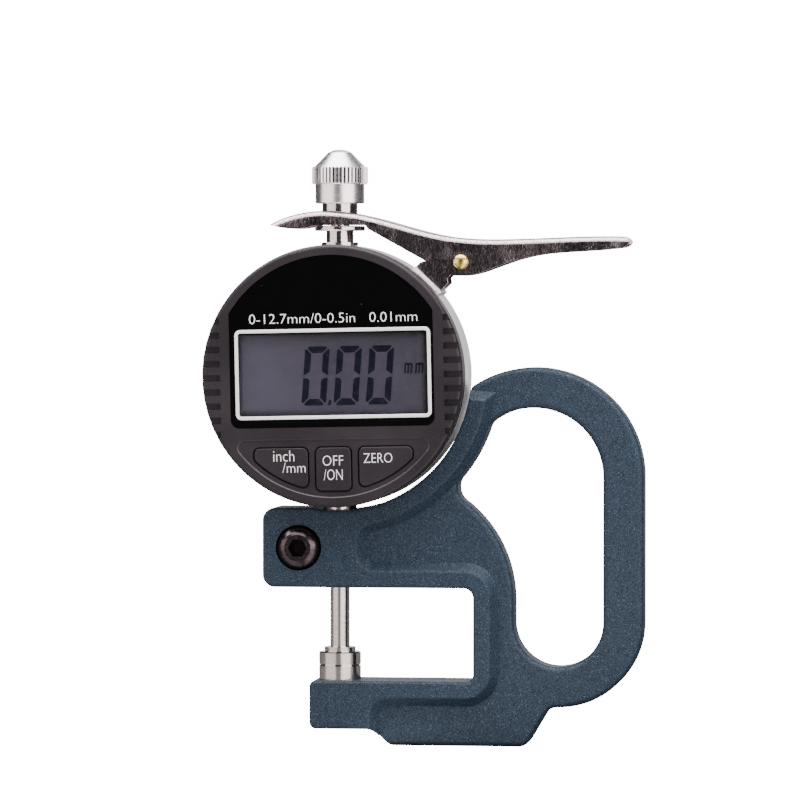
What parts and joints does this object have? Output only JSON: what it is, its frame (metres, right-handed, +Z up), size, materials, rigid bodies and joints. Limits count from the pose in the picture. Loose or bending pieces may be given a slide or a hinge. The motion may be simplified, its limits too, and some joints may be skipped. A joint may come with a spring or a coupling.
{
  "type": "digital thickness gauge",
  "caption": "Digital thickness gauge: C-shaped cast frame with a finger loop, clamped indicator with turning display face, lifting lever, spindle and flat contacts.",
  "frame": {"origin": "centre of the anvil's measuring face, on the spindle axis", "axes": "+Z up the spindle, +X towards the finger loop, the display faces -Y"},
  "size_m": [0.1038, 0.0229, 0.1416],
  "materials": {
    "frame_paint": "sand-textured blue-grey paint",
    "contact_steel": "ground",
    "black_steel": "blackened",
    "case_metal": "satin",
    "spring_steel": "plain",
    "brass": "turned",
    "bright_steel": "bright plated",
    "cap_metal": "satin plated",
    "circuit_board": "matte",
    "inner_plastic": "moulded",
    "dark_plastic": "fine moulded grain",
    "gloss_black": "gloss",
    "clear_window": "clear",
    "display_glass": "grey",
    "soft_rubber": "matte"
  },
  "bodies": {
    "frame_body": {"frame": "frame_paint", "anvil": "contact_steel", "clamp_screw": "black_steel", "indicator_case": "case_metal", "face_retaining_wire": "spring_steel", "stem": "contact_steel", "lower_guide_bush": "brass", "upper_bushing": "bright_steel", "stop_collar": "bright_steel", "sensor_board": "circuit_board", "sensor_board_screws": "spring_steel", "guide_rod": "contact_steel", "return_spring": "spring_steel", "back_cover": "case_metal", "back_cover_screws": "spring_steel", "battery_tray": "inner_plastic", "battery_contact": "spring_steel", "battery": "spring_steel", "battery_cap": "dark_plastic", "lever_bracket": "bright_steel", "bracket_screws": "spring_steel", "pivot_pin": "brass"},
    "spindle_body": {"spindle": "contact_steel", "contact_disc": "contact_steel", "sensor_slider": "inner_plastic", "slider_screw": "spring_steel", "scale_plate": "circuit_board", "cap_neck": "bright_steel", "lifting_cap": "cap_metal"},
    "lever_body": {"lift_lever": "bright_steel"},
    "face_body": {"bezel": "dark_plastic", "face_panel": "gloss_black", "display_window": "clear_window", "lcd": "display_glass", "zebra_strips": "soft_rubber", "display_board": "circuit_board", "display_board_screws": "spring_steel", "keypad_mat": "soft_rubber"},
    "unit_button_body": {"unit_button": "dark_plastic"},
    "power_button_body": {"power_button": "dark_plastic"},
    "zero_button_body": {"zero_button": "dark_plastic"}
  },
  "joints": [
    {"name": "spindle_travel", "type": "slide", "parent": "frame_body", "child": "spindle_body", "axis": [0, 0, 1], "range_m": [0, 0.0127], "stiffness_N_per_m": 60, "springref_m": -0.02, "deforming": ["return_spring"]},
    {"name": "lever_lift", "type": "hinge", "parent": "frame_body", "child": "lever_body", "pos_m": [0.02968, 0, 0.09592], "axis": [0, 1, 0], "range_deg": [0, 24.1]},
    {"name": "face_turn", "type": "hinge", "parent": "frame_body", "child": "face_body", "pos_m": [0, 0, 0.069], "axis": [0, 1, 0], "range_deg": [-135, 135]},
    {"name": "unit_button_press", "type": "slide", "parent": "face_body", "child": "unit_button_body", "axis": [0, 1, 0], "range_m": [0, 0.0005], "stiffness_N_per_m": 800},
    {"name": "power_button_press", "type": "slide", "parent": "face_body", "child": "power_button_body", "axis": [0, 1, 0], "range_m": [0, 0.0005], "stiffness_N_per_m": 800},
    {"name": "zero_button_press", "type": "slide", "parent": "face_body", "child": "zero_button_body", "axis": [0, 1, 0], "range_m": [0, 0.0005], "stiffness_N_per_m": 800}
  ],
  "couplings": [
    {"joint": "lever_lift", "follows": "spindle_travel", "rad_per_m": 32.983}
  ]
}
